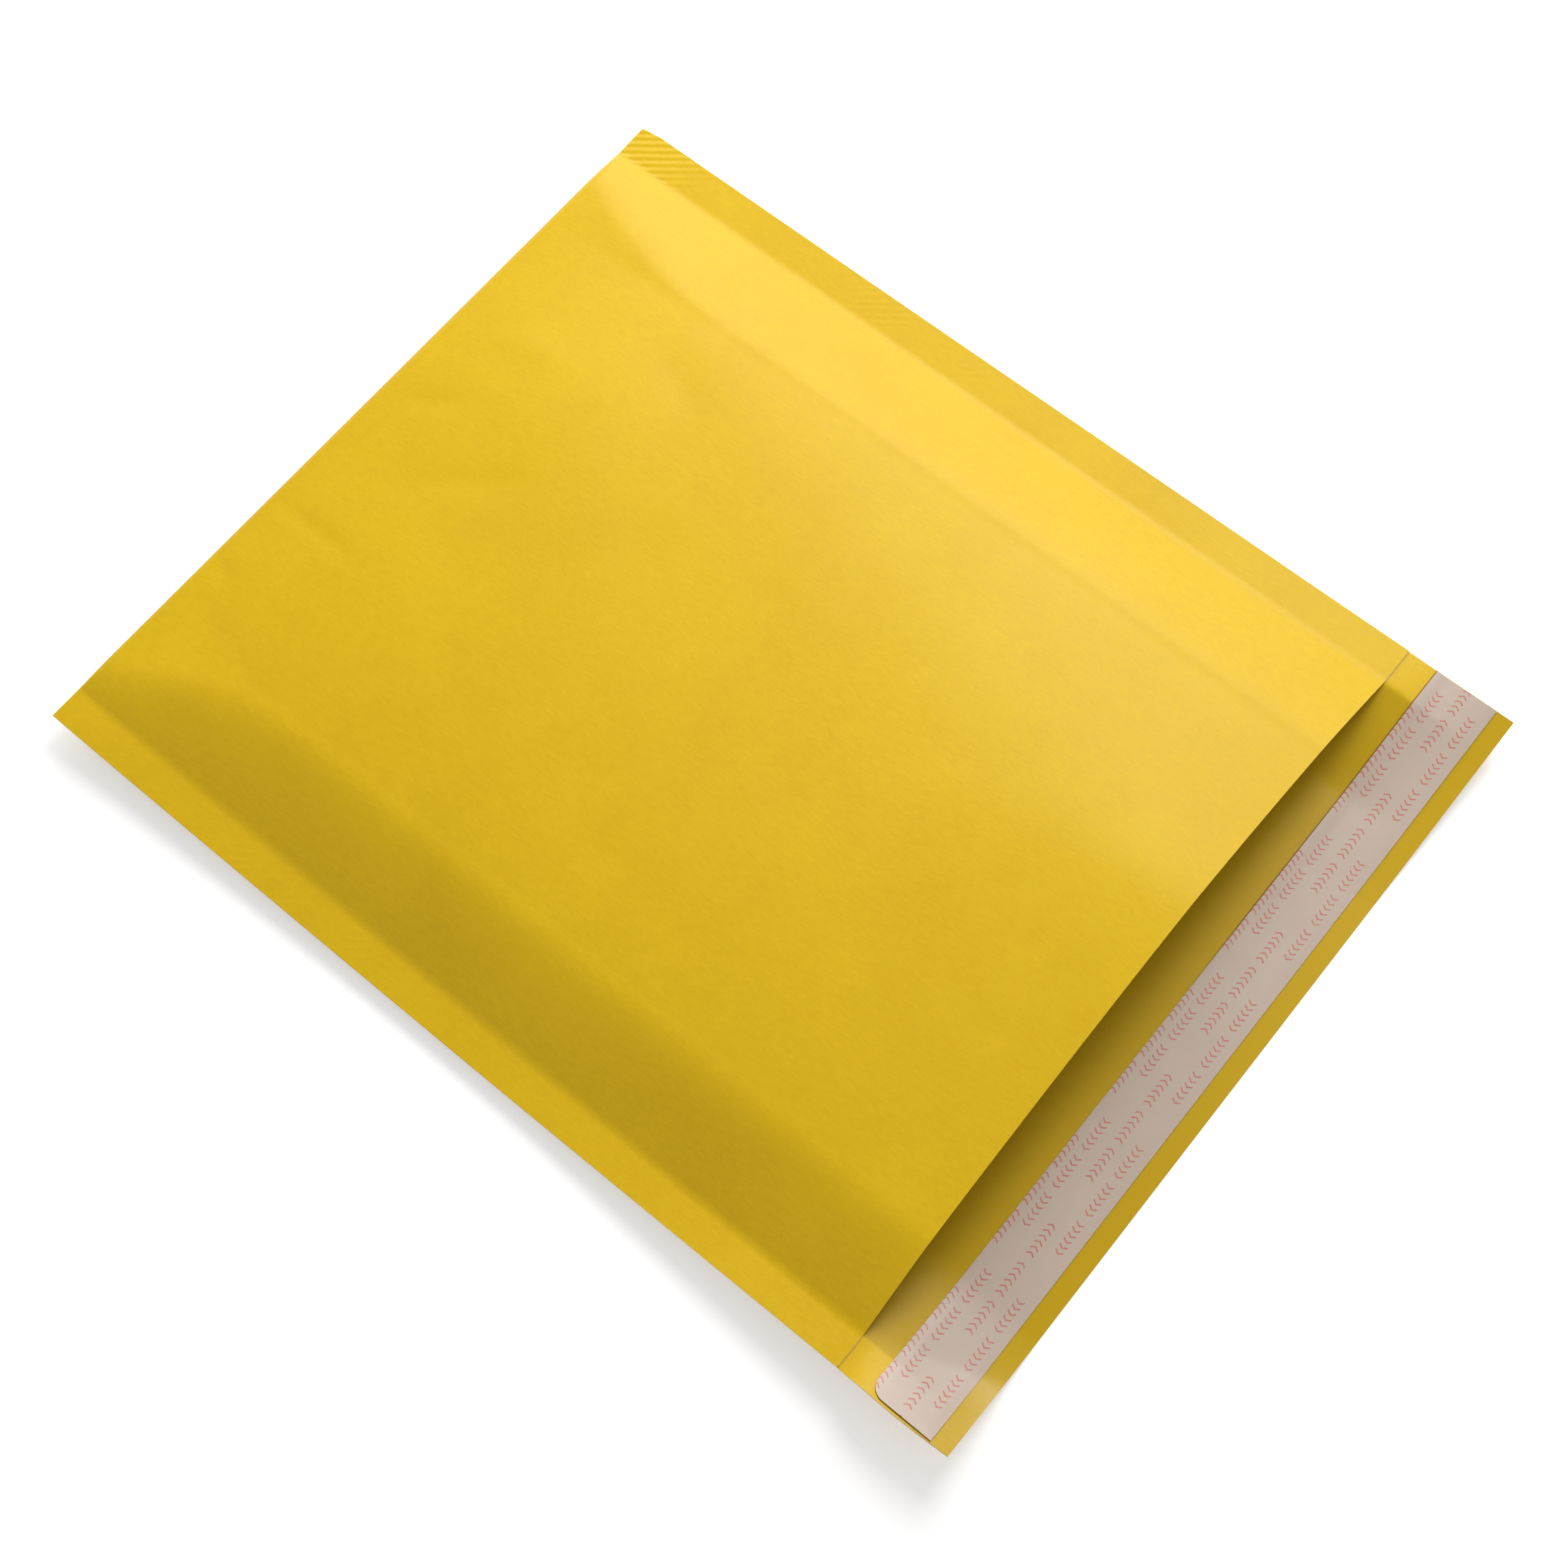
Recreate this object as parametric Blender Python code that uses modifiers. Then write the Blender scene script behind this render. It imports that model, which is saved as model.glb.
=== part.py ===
"""A bubble mailer: a folded paper envelope with a lining of bubble film and a peel-and-seal flap.

It lies on its back with its flap open. X runs across it, its flap points along -Y and Z is up.
The origin is the middle of its footprint, on the surface that it lies on. Sizes are in metres.
"""

import math
from collections import namedtuple

import bmesh
import bpy

# Paper envelope, lying flat
WIDTH = 0.184
BODY_LENGTH = 0.203
FLAP_LENGTH = 0.025
PAPER_THICKNESS = 0.0002
LEFT_SEAM_WIDTH = 0.0075
RIGHT_SEAM_WIDTH = 0.0088
SEAM_FILM_THICKNESS = 0.0001
SEAM_FILM_INSET = 0.0003

# Shape that the envelope holds
POCKET_HEIGHT = 0.005
BODY_CROWN = 0.002
MOUTH_CROWN = 0.0034
MOUTH_CROWN_X = 0.013
CROWN_LENGTH = 0.1
MOUTH_BOW = 0.0013
LEFT_SLOPE_WIDTH = 0.018
RIGHT_SLOPE_WIDTH = 0.024
FOLD_SLOPE_WIDTH = 0.0045
SEAM_HEIGHT = 0.006
LEFT_SEAM_SAG = 0.003
RIGHT_SEAM_SAG = 0.0005
LEFT_FOLD_RADIUS = 0.0019
RIGHT_FOLD_RADIUS = 0.0036
FRONT_RISE_LENGTH = 0.045
BACK_RISE_LENGTH = 0.02
LEFT_CORNER_CURL_WIDTH = 0.028
RIGHT_CORNER_CURL_WIDTH = 0.048
TIP_CORNER_HEIGHT = 0.006
CORNER_CURL_POWER = 1.5
# Share of a slope that the bend at its top takes
BEND_SHARE = 0.15

# Bubble film lining
LINING_THICKNESS = 0.003
BUBBLE_PITCH = 0.0115
FILM_WEB_THICKNESS = 0.0008
LINING_MOUTH_SETBACK = 0.003
LINING_SIDE_CLEARANCE = 0.0018
POCKET_SLOT = 0.0004

# Adhesive strip and the liner that covers it
LINER_WIDTH = 0.014
LINER_THICKNESS = 0.00012
LINER_TIP_MARGIN = 0.004
LINER_END_MARGIN = 0.0003
LINER_CORNER_RADIUS = 0.003
ADHESIVE_WIDTH = 0.01
ADHESIVE_THICKNESS = 0.00012
ADHESIVE_END_MARGIN = 0.004

# Room left between pieces that touch
CLEARANCE = 0.0003

# Number of flat steps along curved stretches
SLOPE_STEPS = 5
POCKET_STEPS = 7
RISE_STEPS = 5
BODY_STEPS = 6
FLAP_STEPS = 5
FOLD_STEPS = 6
CORNER_STEPS = 4
# Faces that meet at less than this angle become one
FLAT_ANGLE = math.radians(0.05)

# Derived sizes
LAYER = PAPER_THICKNESS + CLEARANCE + LINING_THICKNESS
FRONT_HEIGHT = POCKET_HEIGHT + 2 * LAYER
SEAM_HALF = PAPER_THICKNESS + SEAM_FILM_THICKNESS / 2
SEAM_FILM_BITE = PAPER_THICKNESS / 3
CLOSED_END = (BODY_LENGTH + FLAP_LENGTH) / 2
FOLD_END = max(LEFT_FOLD_RADIUS, RIGHT_FOLD_RADIUS)
LEFT_SEAM = -WIDTH / 2 + LEFT_SEAM_WIDTH
RIGHT_SEAM = WIDTH / 2 - RIGHT_SEAM_WIDTH
POCKET_LEFT = LEFT_SEAM + LEFT_SLOPE_WIDTH
POCKET_RIGHT = RIGHT_SEAM - RIGHT_SLOPE_WIDTH
LEFT_SEAM_STATION, LEFT_POCKET_STATION, RIGHT_POCKET_STATION, RIGHT_SEAM_STATION = range(1, 5)

# A line across the sheet. turn is 1 on the front, -1 on the back and between them round the closed
# end, and distance is measured from the closed end, or None round the fold itself.
Row = namedtuple("Row", "turn distance")


def spaced(start, end, steps):
    """The ends of equal steps from start to end."""
    return [start + (end - start) * step / steps for step in range(steps + 1)]


def mix(first, second, share):
    return first + (second - first) * share


def ease_out(share):
    """A curve from 0 to 1 that arrives level."""
    return 1 - (1 - min(max(share, 0.0), 1.0)) ** 2


def smooth_step(share):
    share = min(max(share, 0.0), 1.0)
    return share * share * (3 - 2 * share)


def bend(share):
    """A curve from 0 to 1 that leaves level and is soon straight, as paper bends over an edge."""
    return (math.hypot(share, BEND_SHARE) - BEND_SHARE) / (math.hypot(1, BEND_SHARE) - BEND_SHARE)


# Shape of the envelope


def seam_level(x, distance):
    """Height of the middle of the side seams, carried across the width."""
    sag = math.sin(math.pi * min(distance / BODY_LENGTH, 1.0))
    left = SEAM_HEIGHT - LEFT_SEAM_SAG * sag
    right = SEAM_HEIGHT - RIGHT_SEAM_SAG * sag
    return mix(left, right, x / WIDTH + 0.5)


def slope_widths(distance):
    """Widths of the left and right slopes, which are narrow at the closed end."""
    spread = ease_out((distance - FOLD_END) / FRONT_RISE_LENGTH)
    left = mix(FOLD_SLOPE_WIDTH, LEFT_SLOPE_WIDTH, spread)
    return left, mix(FOLD_SLOPE_WIDTH, RIGHT_SLOPE_WIDTH, spread)


def across(station, distance):
    """Place across the width, for a station of 0 at the left edge and 5 at the right one.

    The stations between are the left seam, the two sides of the pocket and the right seam.
    """
    left, right = slope_widths(distance)
    lines = [-WIDTH / 2, LEFT_SEAM, LEFT_SEAM + left, RIGHT_SEAM - right, RIGHT_SEAM, WIDTH / 2]
    zone = min(int(station), len(lines) - 2)
    return mix(lines[zone], lines[zone + 1], station - zone)


def fullness(x, distance):
    """How far the panels part: 1 over the pocket and 0 at the seams."""
    left, right = slope_widths(distance)
    share = max((LEFT_SEAM + left - x) / left, (x - RIGHT_SEAM + right) / right, 0.0)
    return max(1 - bend(share), 0.0)


def mouth_share(distance):
    """How far the front has taken the shape that it has at the mouth."""
    return smooth_step((distance - BODY_LENGTH + CROWN_LENGTH) / CROWN_LENGTH)


def crown(x, distance):
    """Extra height of the front, an arch over the body that rises to a soft ridge at the mouth."""
    share = mouth_share(distance)
    top = mix((POCKET_LEFT + POCKET_RIGHT) / 2, MOUTH_CROWN_X, share)
    side = POCKET_RIGHT if x > top else POCKET_LEFT
    aside = min((x - top) / (side - top), 1.0)
    height = mix(BODY_CROWN * ease_out(distance / FRONT_RISE_LENGTH), MOUTH_CROWN, share)
    return height * mix(1 - aside**3, 1 - bend(aside), share)


def bow(x, distance):
    """How far the front draws back from the mouth, most of all at the top of its crown."""
    side = RIGHT_SEAM if x > MOUTH_CROWN_X else LEFT_SEAM
    aside = min((x - MOUTH_CROWN_X) / (side - MOUTH_CROWN_X), 1.0)
    return MOUTH_BOW * mouth_share(distance) * (1 - aside**2)


def full_radius(x):
    """Radius of the fold at the closed end, where it is as round as it gets."""
    return mix(LEFT_FOLD_RADIUS, RIGHT_FOLD_RADIUS, x / WIDTH + 0.5)


def fold_radius(x):
    return mix(SEAM_HALF, full_radius(x), fullness(x, 0))


def half_gap(x, distance, front):
    """Distance from the seam level to the outside of one panel."""
    level = seam_level(x, distance)
    full = FRONT_HEIGHT - level if front else level
    rise_length = FRONT_RISE_LENGTH if front else BACK_RISE_LENGTH
    rise = ease_out((distance - fold_radius(x)) / rise_length)
    return mix(SEAM_HALF, mix(full_radius(x), full, rise), fullness(x, distance))


def along(x, row):
    """Distance of a row from the closed end."""
    if row.distance is None:
        return fold_radius(x) * (1 - math.sqrt(1 - row.turn**2))
    return row.distance


def flap_height(x, distance):
    """Height of the underside of the flap."""
    mouth = seam_level(x, BODY_LENGTH) - half_gap(x, BODY_LENGTH, front=False)
    left = (LEFT_CORNER_CURL_WIDTH - WIDTH / 2 - x) / LEFT_CORNER_CURL_WIDTH
    right = (RIGHT_CORNER_CURL_WIDTH - WIDTH / 2 + x) / RIGHT_CORNER_CURL_WIDTH
    tip = TIP_CORNER_HEIGHT * max(left, right, 0.0) ** CORNER_CURL_POWER
    return mix(mouth, tip, smooth_step((distance - BODY_LENGTH) / FLAP_LENGTH))


def outside_height(x, row):
    """Height of the outside of the paper."""
    distance = along(x, row)
    if distance > BODY_LENGTH:
        return flap_height(x, distance)
    height = seam_level(x, distance) + row.turn * half_gap(x, distance, row.turn > 0)
    return height + crown(x, distance) if row.turn == 1 else height


def steepness(x, row):
    """Upright thickness of a slanted layer, as a multiple of its real thickness."""
    reach = PAPER_THICKNESS
    slope = (outside_height(x + reach, row) - outside_height(x - reach, row)) / (2 * reach)
    return math.hypot(1, slope)


def point_inside(x, row, depth):
    """The point this deep under the outside of the paper, towards the pocket."""
    distance = along(x, row)
    if row.distance is None:
        radius = fold_radius(x) - depth
        across = radius * (1 - math.sqrt(1 - row.turn**2)) + depth
        return x, CLOSED_END - across, seam_level(x, 0) + row.turn * radius
    depth *= steepness(x, row)
    return x, CLOSED_END - distance, outside_height(x, row) - row.turn * depth


def lining_thickness(x, row):
    """Thickness of the bubble film, squeezed where the two panels draw together."""
    if row.distance is None:
        room = 2 * (fold_radius(x) - PAPER_THICKNESS)
        return min(LINING_THICKNESS, room / 2 - CLEARANCE - POCKET_SLOT / 2)
    front = Row(1, row.distance)
    back = Row(-1, row.distance)
    skins = (PAPER_THICKNESS + CLEARANCE) * (steepness(x, front) + steepness(x, back))
    room = outside_height(x, front) - outside_height(x, back) - skins - POCKET_SLOT
    return min(LINING_THICKNESS, room / (steepness(x, front) + steepness(x, back)))


# Mesh and material helpers


def principled(name, colour, roughness):
    material = bpy.data.materials.new(name)
    material.use_nodes = True
    material.diffuse_color = (*colour, 1.0)
    shader = material.node_tree.nodes["Principled BSDF"]
    shader.inputs["Base Color"].default_value = (*colour, 1.0)
    shader.inputs["Roughness"].default_value = roughness
    shader.inputs["Metallic"].default_value = 0.0
    return material


def new_object(name, bm, collection):
    """An object made of a bmesh."""
    mesh = bpy.data.meshes.new(name)
    bm.to_mesh(mesh)
    bm.free()
    made = bpy.data.objects.new(name, mesh)
    collection.objects.link(made)
    return made


def grid(columns, rows):
    """A grid with a vertex for each column and row, and the list of (vertex, column, row)."""
    bm = bmesh.new()
    last_column = len(columns) - 1
    last_row = len(rows) - 1
    bmesh.ops.create_grid(bm, x_segments=last_column, y_segments=last_row, size=0.5)
    places = []
    for vertex in bm.verts:
        column = round((vertex.co.x + 0.5) * last_column)
        row = round((vertex.co.y + 0.5) * last_row)
        places.append((vertex, column, row))
    return bm, places


def thick_sheet(name, columns, rows, lower, upper, collection):
    """A closed sheet: a grid at lower(column, row), extruded to upper(column, row)."""
    bm, places = grid(columns, rows)
    address = {}
    for vertex, column, row in places:
        address[vertex.co.to_tuple(6)] = (column, row)
    extruded = bmesh.ops.extrude_face_region(bm, geom=bm.faces[:], use_keep_orig=True)
    top = {item for item in extruded["geom"] if isinstance(item, bmesh.types.BMVert)}
    for vertex in bm.verts:
        column, row = address[vertex.co.to_tuple(6)]
        place = upper if vertex in top else lower
        vertex.co = place(column, row)
    bmesh.ops.recalc_face_normals(bm, faces=bm.faces[:])
    bmesh.ops.dissolve_limit(bm, angle_limit=FLAT_ANGLE, verts=bm.verts[:], edges=bm.edges[:])
    return new_object(name, bm, collection)


def stations():
    """Stations across the width where the paper bends."""
    left_slope = spaced(LEFT_SEAM_STATION, LEFT_POCKET_STATION, SLOPE_STEPS)
    pocket = spaced(LEFT_POCKET_STATION, RIGHT_POCKET_STATION, POCKET_STEPS)
    right_slope = spaced(RIGHT_POCKET_STATION, RIGHT_SEAM_STATION, SLOPE_STEPS)
    return [0, *left_slope, *pocket[1:-1], *right_slope, RIGHT_SEAM_STATION + 1]


def fold_rows(steps):
    """Rows round the closed end, from the front to the back."""
    return [Row(math.cos(math.pi * step / steps), None) for step in range(steps + 1)]


def panel_rows(turn, rise_length, length):
    """Rows along one panel, from the fold to its end."""
    rise_end = FOLD_END + rise_length
    rise = spaced(FOLD_END, rise_end, RISE_STEPS)[1:]
    return [Row(turn, s) for s in rise + spaced(rise_end, length, BODY_STEPS)[1:]]


# Pieces


def kraft_envelope(collection, films):
    """One sheet folded at the closed end, whose side edges are fused into seams by melted film."""
    columns = stations()
    front = panel_rows(1, FRONT_RISE_LENGTH, BODY_LENGTH)
    back = panel_rows(-1, BACK_RISE_LENGTH, BODY_LENGTH)
    flap = [Row(-1, s) for s in spaced(BODY_LENGTH, BODY_LENGTH + FLAP_LENGTH, FLAP_STEPS)[1:]]
    rows = front[::-1] + fold_rows(FOLD_STEPS) + back + flap

    bm, places = grid(columns, rows)
    for vertex, column, row in places:
        x = across(columns[column], rows[row].distance or 0.0)
        vertex.co = point_inside(x, rows[row], 0.0)
        if rows[row].turn == 1 and rows[row].distance:
            vertex.co.y += bow(x, rows[row].distance)
    made = new_object("kraft_envelope", bm, collection)
    paper = made.modifiers.new("paper", "SOLIDIFY")
    paper.thickness = PAPER_THICKNESS
    paper.offset = -1
    paper.use_even_offset = True

    for side, seam in ((-1, LEFT_SEAM), (1, RIGHT_SEAM)):
        film = seam_film(side, seam, films)
        fused = made.modifiers.new(film.name, "BOOLEAN")
        fused.operation = "UNION"
        fused.object = film
    return made


def seam_film(side, seam, collection):
    """The film melted between the two layers of paper along one side."""
    name = "left_seam_film" if side < 0 else "right_seam_film"
    columns = [seam, side * (WIDTH / 2 - SEAM_FILM_INSET)]
    rows = spaced(FOLD_END, BODY_LENGTH - SEAM_FILM_INSET, BODY_STEPS + RISE_STEPS)
    half = SEAM_FILM_THICKNESS / 2 + SEAM_FILM_BITE

    def layer(shift):
        def place(column, row):
            x = columns[column]
            return x, CLOSED_END - rows[row], seam_level(x, rows[row]) + shift

        return place

    made = thick_sheet(name, columns, rows, layer(-half), layer(half), collection)
    made.hide_render = True
    made.display_type = "WIRE"
    return made


def bubble_lining(collection):
    """One sheet of bubble film, folded with the paper, smooth inside and with its bubbles outside."""
    half_pitch = BUBBLE_PITCH / 2
    left = LEFT_SEAM + LINING_SIDE_CLEARANCE
    right = RIGHT_SEAM - LINING_SIDE_CLEARANCE
    columns = spaced(left, right, 2 * round((right - left) / BUBBLE_PITCH))
    start = FOLD_END + half_pitch
    end = BODY_LENGTH - LINING_MOUTH_SETBACK
    row_pitch = BUBBLE_PITCH * math.sqrt(3) / 2
    runs = spaced(start, end, 2 * round((end - start) / row_pitch))
    fold = fold_rows(FOLD_STEPS)
    rows = [Row(1, s) for s in reversed(runs)] + fold + [Row(-1, s) for s in runs]
    first_fold = len(runs)
    last_fold = first_fold + len(fold)

    def is_bubble(column, row):
        if first_fold <= row < last_fold:
            return False
        from_fold = first_fold - 1 - row if row < first_fold else row - last_fold
        edge = column in (0, len(columns) - 1) or from_fold in (0, len(runs) - 1)
        return not edge and from_fold % 2 == 1 and (column + from_fold // 2) % 2 == 1

    def film_side(column, row):
        x = columns[column]
        thickness = lining_thickness(x, rows[row])
        return point_inside(x, rows[row], PAPER_THICKNESS + CLEARANCE + thickness)

    def bubble_side(column, row):
        x = columns[column]
        thickness = lining_thickness(x, rows[row])
        hollow = 0.0 if is_bubble(column, row) else max(thickness - FILM_WEB_THICKNESS, 0.0)
        if first_fold <= row < last_fold:
            hollow = 0.0
        return point_inside(x, rows[row], PAPER_THICKNESS + CLEARANCE + hollow)

    return thick_sheet("bubble_lining", columns, rows, film_side, bubble_side, collection)


def strip_on_flap(name, start, end, columns, base, thickness, corner, collection):
    """A strip that follows the flap's inner face, base above the underside of the paper.

    start and end are the distances of its two long edges from the closed end, and corner is the
    radius of its left corner next to the mouth.
    """
    rows = spaced(0, 1, 2)

    def layer(height):
        def place(column, row):
            x = columns[column]
            from_end = min(x - columns[0], corner)
            bite = corner - math.sqrt(corner**2 - (corner - from_end) ** 2)
            distance = mix(start + bite, end, rows[row])
            upright = steepness(x, Row(-1, distance))
            return x, CLOSED_END - distance, flap_height(x, distance) + height * upright

        return place

    return thick_sheet(name, columns, rows, layer(base), layer(base + thickness), collection)


def strip_columns(end_margin, corner):
    """Places across the flap from one end of a strip to the other."""
    first = -WIDTH / 2 + end_margin
    last = WIDTH / 2 - end_margin
    rounding = [first + corner * (1 - math.cos(a)) for a in spaced(0, math.pi / 2, CORNER_STEPS)]
    bends = [across(station, BODY_LENGTH) for station in stations()]
    bends = [x for x in bends if rounding[-1] < x < last]
    return [*(rounding if corner else [first]), *bends, last]


def adhesive_strip(collection):
    liner_start = BODY_LENGTH + FLAP_LENGTH - LINER_TIP_MARGIN - LINER_WIDTH
    start = liner_start + (LINER_WIDTH - ADHESIVE_WIDTH) / 2
    columns = strip_columns(ADHESIVE_END_MARGIN, 0.0)
    base = PAPER_THICKNESS + CLEARANCE
    end = start + ADHESIVE_WIDTH
    return strip_on_flap(
        "adhesive_strip", start, end, columns, base, ADHESIVE_THICKNESS, 0.0, collection
    )


def release_liner(collection):
    end = BODY_LENGTH + FLAP_LENGTH - LINER_TIP_MARGIN
    columns = strip_columns(LINER_END_MARGIN, LINER_CORNER_RADIUS)
    base = PAPER_THICKNESS + ADHESIVE_THICKNESS + 2 * CLEARANCE
    start = end - LINER_WIDTH
    return strip_on_flap(
        "release_liner", start, end, columns, base, LINER_THICKNESS, LINER_CORNER_RADIUS, collection
    )


def main():
    for old in list(bpy.data.objects):
        bpy.data.objects.remove(old, do_unlink=True)
    parts = bpy.data.collections.new("bubble_mailer")
    films = bpy.data.collections.new("seam_films")
    bpy.context.scene.collection.children.link(parts)
    bpy.context.scene.collection.children.link(films)

    envelope = kraft_envelope(parts, films)
    lining = bubble_lining(parts)
    adhesive = adhesive_strip(parts)
    liner = release_liner(parts)

    envelope.data.materials.append(principled("kraft_paper", (0.80, 0.53, 0.03), 0.5))
    lining.data.materials.append(principled("bubble_film", (0.85, 0.88, 0.90), 0.2))
    adhesive.data.materials.append(principled("hot_melt_adhesive", (0.85, 0.80, 0.62), 0.3))
    liner.data.materials.append(principled("release_paper", (0.62, 0.50, 0.38), 0.35))


main()
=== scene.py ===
import math
from collections import namedtuple

import bpy
from mathutils import Euler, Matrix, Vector, noise


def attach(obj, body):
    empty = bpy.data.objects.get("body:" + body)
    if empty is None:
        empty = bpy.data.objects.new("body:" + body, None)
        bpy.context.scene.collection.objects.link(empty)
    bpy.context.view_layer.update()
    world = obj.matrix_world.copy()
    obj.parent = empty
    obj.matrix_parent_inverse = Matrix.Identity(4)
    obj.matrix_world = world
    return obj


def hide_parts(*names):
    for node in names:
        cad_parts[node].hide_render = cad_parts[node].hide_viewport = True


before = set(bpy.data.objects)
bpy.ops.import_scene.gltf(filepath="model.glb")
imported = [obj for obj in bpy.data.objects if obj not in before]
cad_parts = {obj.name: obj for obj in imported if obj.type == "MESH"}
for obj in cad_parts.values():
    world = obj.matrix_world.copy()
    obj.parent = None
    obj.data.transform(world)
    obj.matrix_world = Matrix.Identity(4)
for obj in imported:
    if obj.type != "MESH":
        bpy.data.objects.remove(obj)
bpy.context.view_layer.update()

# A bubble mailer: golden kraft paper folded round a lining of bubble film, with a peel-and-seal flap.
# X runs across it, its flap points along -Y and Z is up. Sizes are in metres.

# Envelope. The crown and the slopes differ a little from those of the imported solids.
WIDTH = 0.184
BODY_LENGTH = 0.203
FLAP_LENGTH = 0.025
PAPER_THICKNESS = 0.0002
LEFT_SEAM_WIDTH = 0.0075
RIGHT_SEAM_WIDTH = 0.0088
SEAM_FILM_THICKNESS = 0.0001
SEAM_FILM_INSET = 0.0003
POCKET_HEIGHT = 0.005
BODY_CROWN = 0.002
MOUTH_CROWN = 0.0047
MOUTH_LEFT_DROP = 0.75
MOUTH_CROWN_X = 0.013
CROWN_LENGTH = 0.1
MOUTH_BOW = 0.0013
LEFT_SLOPE_WIDTH = 0.022
RIGHT_SLOPE_WIDTH = 0.024
LEFT_FOLD_SLOPE_WIDTH = 0.0095
RIGHT_FOLD_SLOPE_WIDTH = 0.013
SEAM_HEIGHT = 0.006
LEFT_SEAM_SAG = 0.003
RIGHT_SEAM_SAG = 0.0005
LEFT_FOLD_RADIUS = 0.0019
RIGHT_FOLD_RADIUS = 0.0036
FRONT_RISE_LENGTH = 0.045
BACK_RISE_LENGTH = 0.02
LEFT_CORNER_CURL_WIDTH = 0.028
RIGHT_CORNER_CURL_WIDTH = 0.048
TIP_CORNER_HEIGHT = 0.006
CORNER_CURL_POWER = 1.5
BEND_SHARE = 0.15
LEFT_BEND_SHARE = 0.3
FOLD_BEND_SHARE = 0.8
CLEARANCE = 0.0003

# Lining
LINING_THICKNESS = 0.003
LINING_MOUTH_SETBACK = 0.003
LINING_SIDE_CLEARANCE = 0.0018
POCKET_SLOT = 0.0004
FILM_THICKNESS = 0.00012
BUBBLE_PITCH = 0.011
BUBBLE_RADIUS = 0.0048
BUBBLE_SIDES = 16
LEAST_BUBBLE = 0.0007
BUBBLE_EDGE_GAP = 0.0004

# Strips on the flap
LINER_WIDTH = 0.014
LINER_THICKNESS = 0.00012
LINER_TIP_MARGIN = 0.004
LINER_END_MARGIN = 0.0003
LINER_CORNER_RADIUS = 0.003
LINER_HEIGHT = 0.00042
LINER_EDGE_HEIGHT = 0.00029
LINER_EDGE_DROP = 0.002
LINER_LIFT = 0.0004
LINER_LIFT_START = 0.01
LINER_LIFT_EASE = 0.03
LINER_LIFT_REACH = 0.003
ADHESIVE_WIDTH = 0.01
ADHESIVE_HEIGHT = 0.00026
ADHESIVE_THICKNESS = 0.00008
ADHESIVE_END_MARGIN = 0.004

# Small departures of this sheet from true
CLOSED_CORNER_RADIUS = 0.0014
CLOSED_END_SKEW = 0.0012
FLAP_BULGE = 0.0005
FLAP_BAND_SLOPE = 0.13
FLAP_CREASE_START = (-0.0835, 0.208)
FLAP_CREASE_END = (-0.0745, 0.228)
FLAP_CREASE_RADIUS = 0.0009
FLAP_CREASE_SLOPES = (0.33, 0.21)
SEAM_FILM_REACH = 0.0002
SEAM_FILM_SHARE = 0.96
LEFT_SEAM_TILTS = (-0.07, 0.10)
RIGHT_SEAM_TILT = 0.05
SEAM_TILT_LENGTH = 0.02
SEAM_TURN_START = 0.11
SEAM_TURN_LENGTH = 0.09
BROAD_WAVES = (32, 26, 0.00026)
NARROW_WAVES = (130, 110, 0.00003)
FLAP_BAND_EASE = 0.004
FLAP_CREASE_REACH = -0.06
FLAP_CREASE_EASE = 0.008

# Number of flat steps along curved stretches
SEAM_STEPS = 8
LEFT_SLOPE_STEPS = 18
POCKET_STEPS = 110
RIGHT_SLOPE_STEPS = 24
FOLD_STEPS = 14
FRONT_RISE_STEPS = 40
FRONT_STEPS = 100
BACK_RISE_STEPS = 12
BACK_STEPS = 40
FLAP_STEPS = 26
SEAM_FILM_STEPS = 60
LINING_STEPS = 72
STRIP_STEPS = 240
ADHESIVE_ROWS = 12
LINER_ROWS = 20
CORNER_STEPS = 8

# Derived sizes
LAYER = PAPER_THICKNESS + CLEARANCE + LINING_THICKNESS
FRONT_HEIGHT = POCKET_HEIGHT + 2 * LAYER
SEAM_HALF = PAPER_THICKNESS + SEAM_FILM_THICKNESS / 2
CLOSED_END = (BODY_LENGTH + FLAP_LENGTH) / 2
MOUTH = CLOSED_END - BODY_LENGTH
FOLD_END = max(LEFT_FOLD_RADIUS, RIGHT_FOLD_RADIUS)
LEFT_SEAM = -WIDTH / 2 + LEFT_SEAM_WIDTH
RIGHT_SEAM = WIDTH / 2 - RIGHT_SEAM_WIDTH
POCKET_LEFT = LEFT_SEAM + LEFT_SLOPE_WIDTH
POCKET_RIGHT = RIGHT_SEAM - RIGHT_SLOPE_WIDTH
LINER_END = BODY_LENGTH + FLAP_LENGTH - LINER_TIP_MARGIN
LINER_START = LINER_END - LINER_WIDTH

# A line across the sheet. turn is 1 on the front, -1 on the back and between them round the closed
# end, and distance is measured from the closed end, or None round the fold itself.
Row = namedtuple("Row", "turn distance")

# A soft dent in the front: its middle, its half length and half width, the turn of its length from
# the X axis, and its depth, which is negative where the paper stands up.
Dent = namedtuple("Dent", "x distance length width angle depth")

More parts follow.
